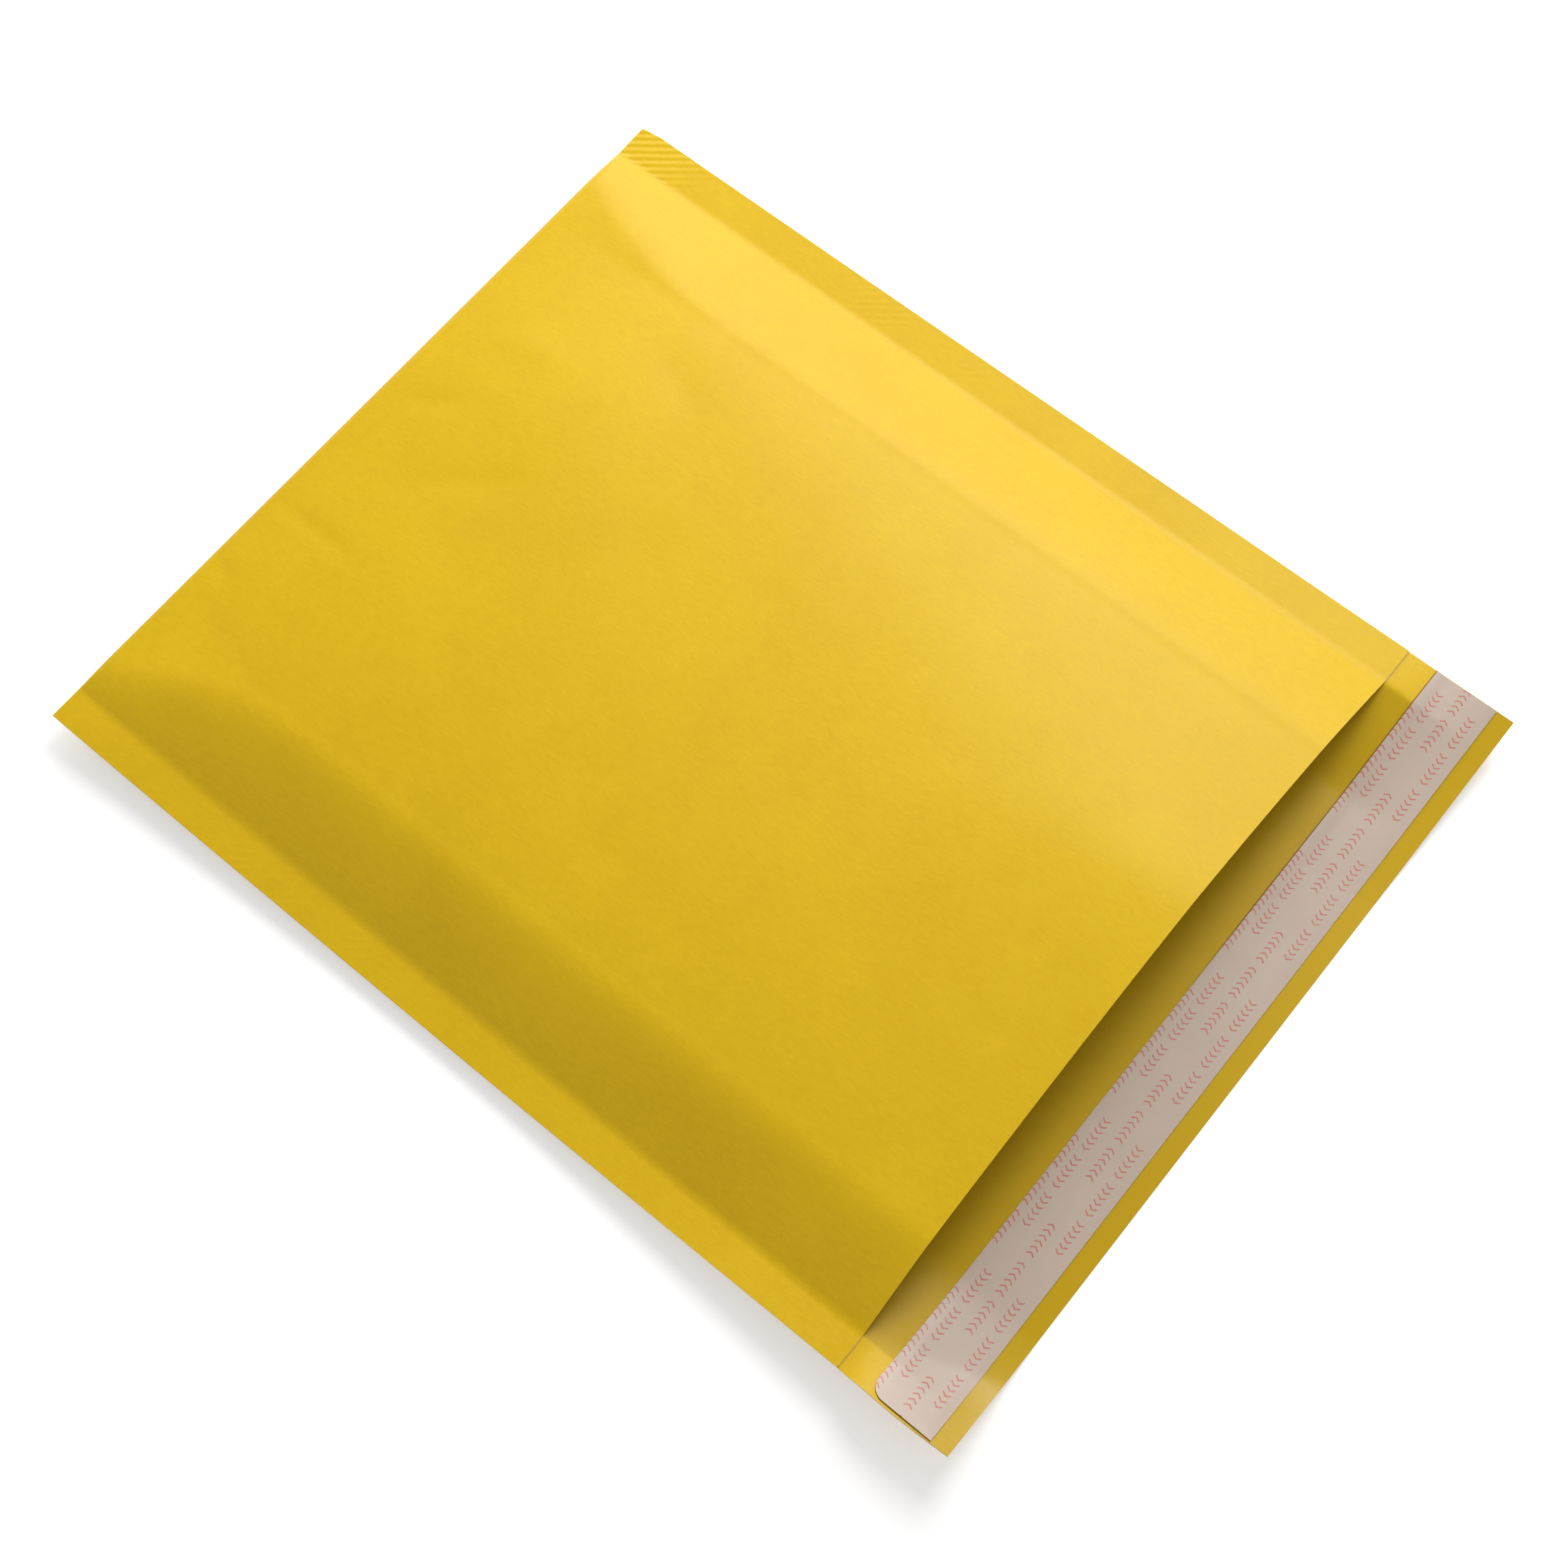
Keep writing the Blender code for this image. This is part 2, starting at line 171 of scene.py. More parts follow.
DENTS = [
    Dent(-0.0292, 0.014, 0.012, 0.0018, 87, 0.00026),
    Dent(-0.0475, 0.005, 0.004, 0.0016, 60, 0.00026),
    Dent(0.0085, 0.014, 0.007, 0.003, 118, 0.00024),
    Dent(-0.002, 0.033, 0.012, 0.004, 130, 0.00026),
    Dent(0.008, 0.070, 0.010, 0.005, 20, 0.00016),
    Dent(0.068, 0.055, 0.011, 0.003, -38, 0.00030),
    Dent(0.074, 0.112, 0.009, 0.003, 75, 0.00014),
    Dent(0.044, 0.050, 0.014, 0.006, 64, 0.00024),
    Dent(0.030, 0.020, 0.012, 0.005, 104, -0.00020),
    Dent(0.012, 0.184, 0.014, 0.005, 8, 0.00012),
    Dent(-0.074, 0.026, 0.010, 0.004, 65, -0.00020),
    Dent(-0.058, 0.014, 0.009, 0.003, 76, 0.00022),
    Dent(-0.046, 0.110, 0.020, 0.006, 80, 0.00014),
    Dent(0.0, 0.0085, 0.075, 0.0028, 0, 0.00012),
]


# Camera, first of all


def add_camera():
    data = bpy.data.cameras.new("camera")
    data.sensor_width = 36.0
    data.lens = 54.206
    camera = bpy.data.objects.new("camera", data)
    camera.location = (-0.143567, -0.124107, 0.439850)
    camera.rotation_euler = Euler((math.radians(a) for a in (22.04798, 0.51388, -50.55255)))
    bpy.context.scene.collection.objects.link(camera)
    bpy.context.scene.camera = camera


add_camera()


# Shape of the envelope


def spaced(start, end, steps):
    """The ends of equal steps from start to end."""
    return [start + (end - start) * step / steps for step in range(steps + 1)]


def mix(first, second, share):
    return first + (second - first) * share


def ease_out(share):
    """A curve from 0 to 1 that arrives level."""
    return 1 - (1 - min(max(share, 0.0), 1.0)) ** 2


def smooth_step(share):
    share = min(max(share, 0.0), 1.0)
    return share * share * (3 - 2 * share)


def bend(share, softness=BEND_SHARE):
    """A curve from 0 to 1 that leaves level and is soon straight, as paper bends over an edge."""
    return (math.hypot(share, softness) - softness) / (math.hypot(1, softness) - softness)


def seam_level(x, distance):
    """Height of the middle of the side seams, carried across the width, with their tilts."""
    sag = math.sin(math.pi * min(distance / BODY_LENGTH, 1.0))
    left = SEAM_HEIGHT - LEFT_SEAM_SAG * sag
    right = SEAM_HEIGHT - RIGHT_SEAM_SAG * sag
    level = mix(left, right, x / WIDTH + 0.5)
    to_mouth = smooth_step((distance - SEAM_TURN_START) / SEAM_TURN_LENGTH)
    left_tilt = mix(*LEFT_SEAM_TILTS, to_mouth) * smooth_step(distance / SEAM_TILT_LENGTH)
    level += left_tilt * max(LEFT_SEAM - x, 0.0)
    return level + RIGHT_SEAM_TILT * (1 - to_mouth) * max(x - RIGHT_SEAM, 0.0)


def slope_widths(distance):
    """Widths of the left and right slopes, which are narrow at the closed end."""
    spread = ease_out((distance - FOLD_END) / FRONT_RISE_LENGTH)
    left = mix(LEFT_FOLD_SLOPE_WIDTH, LEFT_SLOPE_WIDTH, spread)
    return left, mix(RIGHT_FOLD_SLOPE_WIDTH, RIGHT_SLOPE_WIDTH, spread)


def across(station, distance):
    """Place across the width, for a station of 0 at the left edge and 5 at the right one.

    The stations between are the left seam, the two sides of the pocket and the right seam.
    """
    left, right = slope_widths(distance)
    lines = [-WIDTH / 2, LEFT_SEAM, LEFT_SEAM + left, RIGHT_SEAM - right, RIGHT_SEAM, WIDTH / 2]
    zone = min(int(station), len(lines) - 2)
    return mix(lines[zone], lines[zone + 1], station - zone)


def fullness(x, distance):
    """How far the panels part: 1 over the pocket and 0 at the seams."""
    left, right = slope_widths(distance)
    share = max((LEFT_SEAM + left - x) / left, (x - RIGHT_SEAM + right) / right, 0.0)
    body_softness = LEFT_BEND_SHARE if x < 0 else BEND_SHARE
    softness = mix(FOLD_BEND_SHARE, body_softness, ease_out(distance / FRONT_RISE_LENGTH))
    return max(1 - bend(share, softness), 0.0)


def mouth_share(distance):
    """How far the front has taken the shape that it has at the mouth."""
    return smooth_step((distance - BODY_LENGTH + CROWN_LENGTH) / CROWN_LENGTH)


def crown(x, distance):
    """Extra height of the front, an arch over the body that rises to a soft ridge at the mouth."""
    share = mouth_share(distance)
    top = mix((POCKET_LEFT + POCKET_RIGHT) / 2, MOUTH_CROWN_X, share)
    side = POCKET_RIGHT if x > top else POCKET_LEFT
    aside = min((x - top) / (side - top), 1.0)
    height = mix(BODY_CROWN * ease_out(distance / FRONT_RISE_LENGTH), MOUTH_CROWN, share)
    drop = MOUTH_LEFT_DROP if x < top else 1.0
    return height * mix(1 - aside**3, 1 - drop * bend(aside), share) * fullness(x, distance)


def bow(x, distance):
    """How far the front draws back from the mouth, most of all at the top of its crown."""
    side = RIGHT_SEAM if x > MOUTH_CROWN_X else LEFT_SEAM
    aside = min((x - MOUTH_CROWN_X) / (side - MOUTH_CROWN_X), 1.0)
    return MOUTH_BOW * mouth_share(distance) * (1 - aside**2)


def full_radius(x):
    """Radius of the fold at the closed end, where it is as round as it gets."""
    return mix(LEFT_FOLD_RADIUS, RIGHT_FOLD_RADIUS, x / WIDTH + 0.5)


def fold_radius(x):
    return mix(SEAM_HALF, full_radius(x), fullness(x, 0))


def half_gap(x, distance, front):
    """Distance from the seam level to the outside of one panel."""
    level = seam_level(x, distance)
    full = FRONT_HEIGHT - level if front else level
    rise_length = FRONT_RISE_LENGTH if front else BACK_RISE_LENGTH
    rise = ease_out((distance - fold_radius(x)) / rise_length)
    return mix(SEAM_HALF, mix(full_radius(x), full, rise), fullness(x, distance))


def along(x, row):
    """Distance of a row from the closed end."""
    if row.distance is None:
        return fold_radius(x) * (1 - math.sqrt(1 - row.turn**2))
    return row.distance


def flap_height(x, distance):
    """Height of the underside of the flap."""
    mouth = seam_level(x, BODY_LENGTH) - half_gap(x, BODY_LENGTH, front=False)
    left = (LEFT_CORNER_CURL_WIDTH - WIDTH / 2 - x) / LEFT_CORNER_CURL_WIDTH
    right = (RIGHT_CORNER_CURL_WIDTH - WIDTH / 2 + x) / RIGHT_CORNER_CURL_WIDTH
    tip = TIP_CORNER_HEIGHT * max(left, right, 0.0) ** CORNER_CURL_POWER
    return mix(mouth, tip, smooth_step((distance - BODY_LENGTH) / FLAP_LENGTH))


def outside_height(x, row):
    """Height of the outside of the paper."""
    distance = along(x, row)
    if distance > BODY_LENGTH:
        return flap_height(x, distance)
    height = seam_level(x, distance) + row.turn * half_gap(x, distance, row.turn > 0)
    return height + crown(x, distance) if row.turn == 1 else height


def steepness(x, row):
    """Upright thickness of a slanted layer, as a multiple of its real thickness."""
    reach = PAPER_THICKNESS
    slope = (outside_height(x + reach, row) - outside_height(x - reach, row)) / (2 * reach)
    return math.hypot(1, slope)


def point_inside(x, row, depth):
    """The point this deep under the outside of the paper, towards the pocket."""
    distance = along(x, row)
    if row.distance is None:
        radius = fold_radius(x) - depth
        reach = radius * (1 - math.sqrt(1 - row.turn**2)) + depth
        return Vector((x, CLOSED_END - reach, seam_level(x, 0) + row.turn * radius))
    depth *= steepness(x, row)
    return Vector((x, CLOSED_END - distance, outside_height(x, row) - row.turn * depth))


def lining_thickness(x, row):
    """Thickness of the bubble film, squeezed where the two panels draw together."""
    if row.distance is None:
        room = 2 * (fold_radius(x) - PAPER_THICKNESS)
        return min(LINING_THICKNESS, room / 2 - CLEARANCE - POCKET_SLOT / 2)
    front = Row(1, row.distance)
    back = Row(-1, row.distance)
    skins = (PAPER_THICKNESS + CLEARANCE) * (steepness(x, front) + steepness(x, back))
    room = outside_height(x, front) - outside_height(x, back) - skins - POCKET_SLOT
    return min(LINING_THICKNESS, room / (steepness(x, front) + steepness(x, back)))


# Small unevenness of the paper


def dent_depth(dent, x, distance):
    """How far one dent pushes the paper in here."""
    turn = math.radians(dent.angle)
    dx = x - dent.x
    dy = dent.distance - distance
    lengthways = (dx * math.cos(turn) + dy * math.sin(turn)) / dent.length
    sideways = (dy * math.cos(turn) - dx * math.sin(turn)) / dent.width
    return dent.depth * math.exp(-lengthways**2 - abs(sideways) ** 1.5)


def waviness(x, distance, turn):
    """Height of the shallow waves that paper keeps, where the pocket holds it up."""
    if turn <= 0:
        return 0.0
    height = 0.0
    for (across_scale, along_scale, depth), layer in ((BROAD_WAVES, 0.0), (NARROW_WAVES, 5.0)):
        place = Vector((x * across_scale, distance * along_scale, layer))
        height += depth * noise.noise(place)
    return height * turn * fullness(x, distance)


def flap_rise(x, distance):
    """How far the flap stands up beside its left edge and past the crease across its corner."""
    band = FLAP_BAND_SLOPE * max(LEFT_SEAM - x, 0.0)
    band *= smooth_step((distance - BODY_LENGTH) / FLAP_BAND_EASE)
    band *= smooth_step((LINER_START - distance) / FLAP_BAND_EASE)
    along_x = FLAP_CREASE_END[0] - FLAP_CREASE_START[0]
    along_distance = FLAP_CREASE_END[1] - FLAP_CREASE_START[1]
    past = (distance - FLAP_CREASE_START[1]) * along_x - (x - FLAP_CREASE_START[0]) * along_distance
    past /= math.hypot(along_x, along_distance)
    bent = (past + math.hypot(past, FLAP_CREASE_RADIUS)) / 2
    tip_share = (distance - FLAP_CREASE_START[1]) / along_distance
    slope = mix(*FLAP_CREASE_SLOPES, tip_share) * smooth_step(tip_share * 4 + 0.6)
    return band + slope * bent * smooth_step((FLAP_CREASE_REACH - x) / FLAP_CREASE_EASE)


def paper_point(x, row):
    """A point on the outside of the paper, with its dents and its waves."""
    point = point_inside(x, row, 0.0)
    distance = along(x, row)
    if row.turn == 1 and row.distance:
        point.y += bow(x, distance)
    if row.turn > 0 and distance <= BODY_LENGTH:
        share = row.turn * min(1.0, distance / FOLD_END) * fullness(x, distance)
        point.z += waviness(x, distance, row.turn) * min(1.0, distance / FOLD_END)
        point.z -= sum(dent_depth(dent, x, distance) for dent in DENTS) * share
    if distance > BODY_LENGTH:
        point.z += flap_rise(x, distance)
        bulge = math.sin(math.pi * (distance - BODY_LENGTH) / FLAP_LENGTH)
        point.x -= FLAP_BULGE * bulge * max(LEFT_SEAM - x, 0.0) / LEFT_SEAM_WIDTH
    corner = CLOSED_CORNER_RADIUS
    if x > RIGHT_SEAM and distance < corner:
        cut = corner - math.sqrt(corner**2 - (corner - distance) ** 2)
        point.x -= cut * (x - RIGHT_SEAM) / RIGHT_SEAM_WIDTH
    if distance < BODY_LENGTH:
        point.y += CLOSED_END_SKEW * (x / WIDTH + 0.5) * (1 - distance / BODY_LENGTH)
    return point


# Making and finishing pieces


def deselect_all():
    bpy.ops.object.select_all(action="DESELECT")


def placed_grid(name, columns, rows, place):
    """A grid primitive with a vertex for each column and row, each moved to place(column, row)."""
    deselect_all()
    last_column = columns - 1
    last_row = rows - 1
    bpy.ops.mesh.primitive_grid_add(x_subdivisions=last_column, y_subdivisions=last_row, size=1)
    made = bpy.context.object
    made.name = name
    made.data.name = name
    for vertex in made.data.vertices:
        column = round((vertex.co.x + 0.5) * last_column)
        row = round((vertex.co.y + 0.5) * last_row)
        vertex.co = place(column, row)
    return made


def thicken(made, thickness, offset=-1):
    """Gives a sheet its thickness, on the side that its faces turn away from."""
    deselect_all()
    made.select_set(True)
    bpy.context.view_layer.objects.active = made
    wall = made.modifiers.new("thickness", "SOLIDIFY")
    wall.thickness = thickness
    wall.offset = offset
    wall.use_even_offset = True
    bpy.ops.object.modifier_apply(modifier=wall.name)


def mark_sides(made, outer, inner):
    """Marks each face of a folded sheet: 0 on its outside, 0.5 on its inside and 1 at its cut edges.

    The outside has the first faces and the inside has those that follow, as Solidify leaves them.
    """
    side = made.data.attributes.new("side", "FLOAT", "FACE")
    for face in made.data.polygons:
        side.data[face.index].value = (face.index >= outer) / 2 + (face.index >= outer + inner) / 2


def joined(made, others):
    """One object of several."""
    deselect_all()
    for other in others:
        other.select_set(True)
    made.select_set(True)
    bpy.context.view_layer.objects.active = made
    bpy.ops.object.join()
    return made


def smoothed(made, angle):
    """Shades a piece smooth, apart from edges sharper than this angle in degrees."""
    deselect_all()
    made.select_set(True)
    bpy.context.view_layer.objects.active = made
    bpy.ops.object.shade_smooth_by_angle(angle=math.radians(angle))


def finished(made, node, material):
    """Puts a piece in the place of its CAD node."""
    made.data.materials.clear()
    made.data.materials.append(material)
    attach(made, "root")
    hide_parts(node)
    return made


# Shader nodes


class Value:
    """A shader value. Arithmetic on it adds Math nodes to its material."""

    def __init__(self, finish, socket):
        self.finish = finish
        self.socket = socket

    def __add__(self, other):
        return self.finish.maths("ADD", self, other)

    __radd__ = __add__

    def __sub__(self, other):
        return self.finish.maths("SUBTRACT", self, other)

    def __mul__(self, other):
        return self.finish.maths("MULTIPLY", self, other)

    __rmul__ = __mul__

    def __truediv__(self, other):
        return self.finish.maths("DIVIDE", self, other)

    def __abs__(self):
        return self.finish.maths("ABSOLUTE", self)


class Finish:
    """A material and the nodes that make it."""

    def __init__(self, name, tree=None):
        if tree is None:
            self.material = bpy.data.materials.new(name)
            self.material.use_nodes = True
            tree = self.material.node_tree
        self.tree = tree

    def node(self, kind, settings=None, sockets=None):
        """Adds a node and gives its outputs. Settings are set first, then values or links."""
        made = self.tree.nodes.new(kind)
        for name, value in (settings or {}).items():
            setattr(made, name, value)
        for name, value in (sockets or {}).items():
            self.feed(made.inputs[name], value)
        return [Value(self, socket) for socket in made.outputs]

    def feed(self, socket, value):
        if isinstance(value, Value):
            self.tree.links.new(value.socket, socket)
        elif isinstance(value, tuple) and len(socket.default_value) == 4 and len(value) == 3:
            socket.default_value = (*value, 1.0)
        else:
            socket.default_value = value

    def maths(self, operation, *operands):
        sockets = dict(enumerate(operands))
        return self.node("ShaderNodeMath", {"operation": operation}, sockets)[0]

    def object_place(self):
        return self.node("ShaderNodeTexCoord")[3]

    def split(self, place):
        return self.node("ShaderNodeSeparateXYZ", sockets={"Vector": place})

    def scaled(self, place, scale):
        return self.node("ShaderNodeMapping", sockets={"Vector": place, "Scale": scale})[0]

    def clouds(self, place, scale, detail=2.0, roughness=0.5):
        sockets = {"Vector": place, "Scale": scale, "Detail": detail, "Roughness": roughness}
        return self.node("ShaderNodeTexNoise", sockets=sockets)[0]

    def ramp(self, value, start, end):
        """A smooth step from 0 at start to 1 at end."""
        sockets = {"Value": value, "From Min": start, "From Max": end}
        settings = {"interpolation_type": "SMOOTHSTEP"}
        return self.node("ShaderNodeMapRange", settings, sockets)[0]

    def blend(self, share, first, second):
        """A colour between two others."""
        sockets = {0: share, 6: first, 7: second}
        return self.node("ShaderNodeMix", {"data_type": "RGBA"}, sockets)[2]

    def bump(self, millimetres):
        """A normal for a relief whose height is in millimetres."""
        sockets = {"Strength": 1.0, "Distance": 0.001, "Height": millimetres}
        return self.node("ShaderNodeBump", sockets=sockets)[0]

    def surface(self, **inputs):
        """Sets the Principled shader's sockets, named with _ for a space."""
        shader = self.tree.nodes["Principled BSDF"]
        for name, value in inputs.items():
            self.feed(shader.inputs[name.replace("_", " ")], value)
        return self.material


# Materials

KRAFT_DEEP = (0.70, 0.425, 0.001)
KRAFT_PALE = (0.86, 0.57, 0.005)
# Inner face, deeper than the outside: partly its own duller tone and partly painted shade where the flap
# lies in shade.
KRAFT_INSIDE_SHADE = (0.575, 0.36, 0.0)
# Painted shadow: a dark stripe on the flap along the liner's inner edge.
LINER_EDGE_SHADOW = (0.26, 0.12, 0.004)
LINER_EDGE_SHADOW_HALF = 0.0004
SEAM_EDGE = 0.0003
# A paler colour on the paper's cut edges.
KRAFT_CUT_EDGE = (0.70, 0.48, 0.13)
CRIMP_PITCH = 0.0017
CRIMP_RELIEF = 0.04


def kraft_paper():
    finish = Finish("kraft_paper")
    place = finish.object_place()
    x, y, _ = finish.split(place)
    clouds = finish.clouds(place, 38.0, detail=5.0, roughness=0.6)
    fibres = finish.clouds(finish.scaled(place, (1.0, 0.3, 1.0)), 1500.0, detail=3.0)
    specks = finish.clouds(place, 2600.0, detail=1.0)

    seams = finish.ramp(x, RIGHT_SEAM - SEAM_EDGE, RIGHT_SEAM + SEAM_EDGE)
    seams = seams + finish.ramp(x, LEFT_SEAM + SEAM_EDGE, LEFT_SEAM - SEAM_EDGE)
    seams = seams * finish.ramp(y, MOUTH - 0.0001, MOUTH + 0.0003)
    crimp = finish.maths("SINE", (x * 0.8 + y * 0.6) * (2 * math.pi / CRIMP_PITCH))
    near_corner = finish.ramp(y + x * 0.3, 0.118, 0.134)
    patches = finish.ramp(finish.clouds(place, 90.0), 0.45, 0.7) * finish.ramp(y, -0.02, 0.06)
    crimp = crimp * seams * (near_corner + 0.3 * patches)

    tone = clouds * 0.8 + fibres * 0.6 + specks * 0.4 - 0.4 + crimp * 0.05
    relief = fibres * 0.02 + specks * 0.01 + crimp * CRIMP_RELIEF
    side = finish.node("ShaderNodeAttribute", {"attribute_name": "side"})[2]
    between_seams = finish.ramp(x, LEFT_SEAM - 0.0004, LEFT_SEAM + 0.0006)
    between_seams = between_seams * finish.ramp(x, RIGHT_SEAM + 0.0004, RIGHT_SEAM - 0.0006)
    past_liner = finish.ramp(y, CLOSED_END - LINER_START, CLOSED_END - LINER_END)
    # Painted shade on the inner face: between the seams, and all across the flap past the liner.
    inside = finish.ramp(side, 0.2, 0.4) * finish.maths("MAXIMUM", between_seams, past_liner)
    dye_and_shade = finish.blend(tone, KRAFT_DEEP, KRAFT_PALE)
    dye_and_shade = finish.blend(inside * 0.85, dye_and_shade, KRAFT_INSIDE_SHADE)
    pressed = finish.ramp(x, -0.0735, -0.0775) * past_liner
    # Painted shadow: a narrow dark stripe on the inner face just beside the liner's inner edge, over the
    # right half of the flap.
    beside_liner = y - (CLOSED_END - LINER_START)
    half = LINER_EDGE_SHADOW_HALF
    line = finish.ramp(beside_liner, half, half / 2)
    line = line * finish.ramp(beside_liner, -half, -half / 2)
    line = line * finish.ramp(side, 0.2, 0.4) * finish.ramp(x, -0.002, 0.03)
    dye_and_shade = finish.blend(line * 0.85, dye_and_shade, LINER_EDGE_SHADOW)
    return finish.surface(
        Base_Color=finish.blend(finish.ramp(side, 0.6, 0.9), dye_and_shade, KRAFT_CUT_EDGE),
        Roughness=0.37 + fibres * 0.1 - seams * 0.02 - pressed * 0.2,
        Specular_IOR_Level=0.24,
        Normal=finish.bump(relief),
    )


def bubble_film():
    finish = Finish("bubble_film")
    place = finish.object_place()
    haze = finish.clouds(place, 260.0, detail=3.0)
    return finish.surface(
        Base_Color=finish.blend(haze, (0.80, 0.82, 0.84), (0.95, 0.96, 0.97)),
        Roughness=0.08 + haze * 0.1,
        Alpha=0.26 + haze * 0.16,
        Normal=finish.bump(finish.clouds(place, 420.0) * 0.04),
    )


def hot_melt_adhesive():
    finish = Finish("hot_melt_adhesive")
    place = finish.object_place()
    streaks = finish.clouds(finish.scaled(place, (0.1, 1.0, 1.0)), 900.0, detail=3.0)
    return finish.surface(
        Base_Color=finish.blend(streaks, (0.72, 0.62, 0.38), (0.88, 0.80, 0.58)),
        Roughness=0.22 + streaks * 0.2,
        Normal=finish.bump(streaks * 0.05),
    )


# The liner's tones are darker than its own pale cream. They carry painted shade for the shade that lies
# over the flap.
LINER_PALE = (0.64, 0.525, 0.43)
LINER_DEEP = (0.55, 0.435, 0.35)
PRINT_RED = (0.58, 0.19, 0.16)
PRINT_ROWS = [(0.0004, 0.0, 1), (0.0031, 0.006, -1), (0.0072, 0.0205, 1), (0.0111, 0.0055, -1)]
MARK_PITCH = 0.00132
MARK_HEIGHT = 0.0018
GROUP_MARKS = 7
RUN_GROUPS = 3
RUN_PERIOD = MARK_PITCH * GROUP_MARKS * (RUN_GROUPS + 1)


def print_row(finish, x, y, inset, shift, heading):
    """One row of small chevrons in runs, which head left or right."""
    count = (x + (WIDTH / 2 + RUN_PERIOD - shift)) / MARK_PITCH
    cell = finish.maths("FRACT", count) - 0.5
    level = abs(y - (CLOSED_END - LINER_START - inset)) / MARK_HEIGHT
    stroke = abs(cell + heading * (level * 0.9 - 0.22))
    mark = finish.ramp(stroke, 0.2, 0.11) * finish.ramp(level, 0.53, 0.45)
    group = finish.maths("FRACT", count / GROUP_MARKS)
    mark = mark * finish.ramp(group, 1 - 0.9 / GROUP_MARKS, 1 - 1.1 / GROUP_MARKS)
    run = finish.maths("FRACT", count * (MARK_PITCH / RUN_PERIOD))
    run_end = (RUN_GROUPS - 0.06) / (RUN_GROUPS + 1)
    return mark * finish.ramp(run, run_end + 0.002, run_end)


def release_paper():
    finish = Finish("release_paper")
    place = finish.object_place()
    x, y, _ = finish.split(place)
    clouds = finish.clouds(place, 70.0, detail=4.0)
    grain = finish.clouds(place, 1800.0, detail=2.0)
    ink = sum(print_row(finish, x, y, *row) for row in PRINT_ROWS)
    ink = ink * (0.5 + 0.7 * finish.clouds(place, 1100.0, detail=2.0))
    paper = finish.blend(clouds * 0.8 + grain * 0.3 - 0.05, LINER_DEEP, LINER_PALE)
    return finish.surface(
        Base_Color=finish.blend(ink, paper, PRINT_RED),
        Roughness=0.3 + grain * 0.12,
        Specular_IOR_Level=0.4,
        Normal=finish.bump(grain * 0.008 + clouds * 0.1),
    )


# Pieces


def envelope_stations():
    """Stations across the width, close together where the paper bends."""
    found = spaced(0, 1, SEAM_STEPS)
    found += spaced(1, 2, LEFT_SLOPE_STEPS)[1:]
    found += spaced(2, 3, POCKET_STEPS)[1:]
    found += spaced(3, 4, RIGHT_SLOPE_STEPS)[1:]
    return found + spaced(4, 5, SEAM_STEPS)[1:]


def panel_rows(turn, rise_length, rise_steps, steps, length):
    """Rows along one panel, from the fold to its end."""
    rise_end = FOLD_END + rise_length
    distances = spaced(FOLD_END, rise_end, rise_steps)[1:] + spaced(rise_end, length, steps)[1:]
    return [Row(turn, distance) for distance in distances]


def fold_rows(steps):
    """Rows round the closed end, from the front to the back."""
    return [Row(math.cos(math.pi * step / steps), None) for step in range(steps + 1)]


def kraft_envelope():
    """One sheet folded at the closed end, whose side edges are fused by film melted between them."""
    stations = envelope_stations()
    front = panel_rows(1, FRONT_RISE_LENGTH, FRONT_RISE_STEPS, FRONT_STEPS, BODY_LENGTH)
    back = panel_rows(-1, BACK_RISE_LENGTH, BACK_RISE_STEPS, BACK_STEPS, BODY_LENGTH)
    flap_distances = spaced(BODY_LENGTH, BODY_LENGTH + FLAP_LENGTH, FLAP_STEPS)[1:]
    flap = [Row(-1, distance) for distance in flap_distances]
    rows = front[::-1] + fold_rows(FOLD_STEPS) + back + flap

    def place(column, row):
        x = across(stations[column], rows[row].distance or 0.0)
        return paper_point(x, rows[row])

    made = placed_grid("kraft_envelope_paper", len(stations), len(rows), place)
    panel_faces = len(made.data.polygons)
    thicken(made, PAPER_THICKNESS)
    mark_sides(made, panel_faces, panel_faces)
    films = [seam_film(-1, LEFT_SEAM), seam_film(1, RIGHT_SEAM)]
    joined(made, films)
    smoothed(made, 40)
    return made


def seam_film(side, seam):
    """The film melted between the two layers of paper along one side."""
    distances = spaced(FOLD_END, BODY_LENGTH + SEAM_FILM_REACH, SEAM_FILM_STEPS)
    columns = sorted([seam, side * (WIDTH / 2 - SEAM_FILM_INSET)])

    def place(column, row):
        x = columns[column]
        distance = distances[::-1][row]
        return Vector((x, CLOSED_END - distance, seam_level(x, distance)))

    made = placed_grid("seam_film", 2, len(distances), place)
    thicken(made, SEAM_FILM_THICKNESS * SEAM_FILM_SHARE, offset=0)
    mark_sides(made, 0, 0)
    return made


def bubble():
    """One bubble of radius 1 and height 1, standing on the film."""
    deselect_all()
    bpy.ops.mesh.primitive_circle_add(vertices=BUBBLE_SIDES, radius=1, fill_type="NGON")
    made = bpy.context.object
    bpy.ops.object.mode_set(mode="EDIT")
    bpy.ops.mesh.select_all(action="SELECT")
    for rise, shrink in ((0.5, 0.95), (0.3, 0.86), (0.16, 0.66), (0.04, 0.5)):
        move = {"value": (0, 0, rise)}
        bpy.ops.mesh.extrude_region_move(TRANSFORM_OT_translate=move)
        bpy.ops.transform.resize(value=(shrink, shrink, 1))
    bpy.ops.mesh.select_all(action="SELECT")
    bpy.ops.mesh.normals_make_consistent(inside=False)
    bpy.ops.object.mode_set(mode="OBJECT")
    return made


